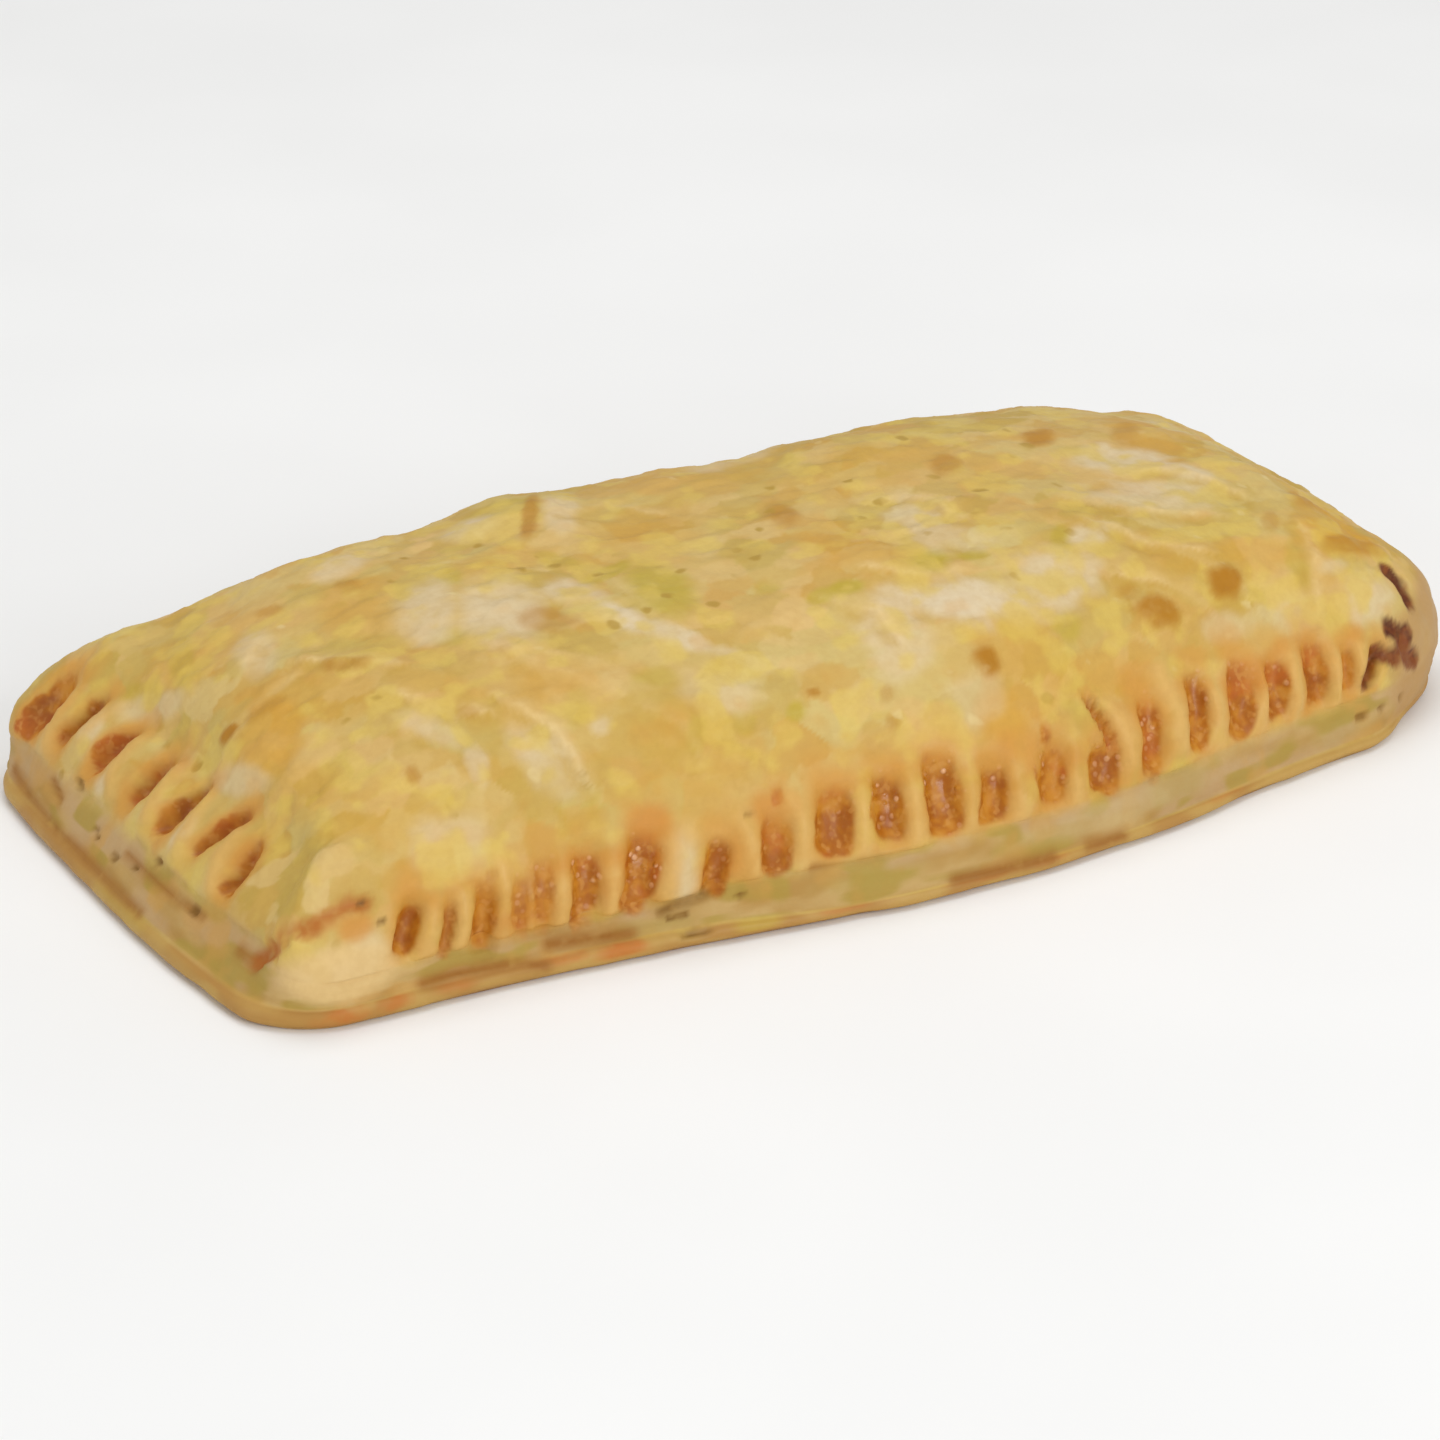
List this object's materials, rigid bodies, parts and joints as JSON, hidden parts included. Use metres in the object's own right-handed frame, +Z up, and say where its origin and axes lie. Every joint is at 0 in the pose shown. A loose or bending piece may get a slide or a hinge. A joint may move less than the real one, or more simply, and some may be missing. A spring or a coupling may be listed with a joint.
{
  "type": "savoury pie",
  "caption": "Rectangular savoury hand pie of golden puff pastry with a pillow-shaped lid, a crimped edge all round and a flat underside.",
  "frame": {"origin": "middle of the flat underside, under the centre of the bounding box", "axes": "+X along the pie, +Y across it towards its straight back edge, +Z up out of the lid"},
  "size_m": [0.1434, 0.0732, 0.0245],
  "materials": {
    "pastry": "baked puff pastry: pale golden and matt, browned in the crimps"
  },
  "bodies": {
    "root": {"pie": "pastry"}
  },
  "joints": []
}
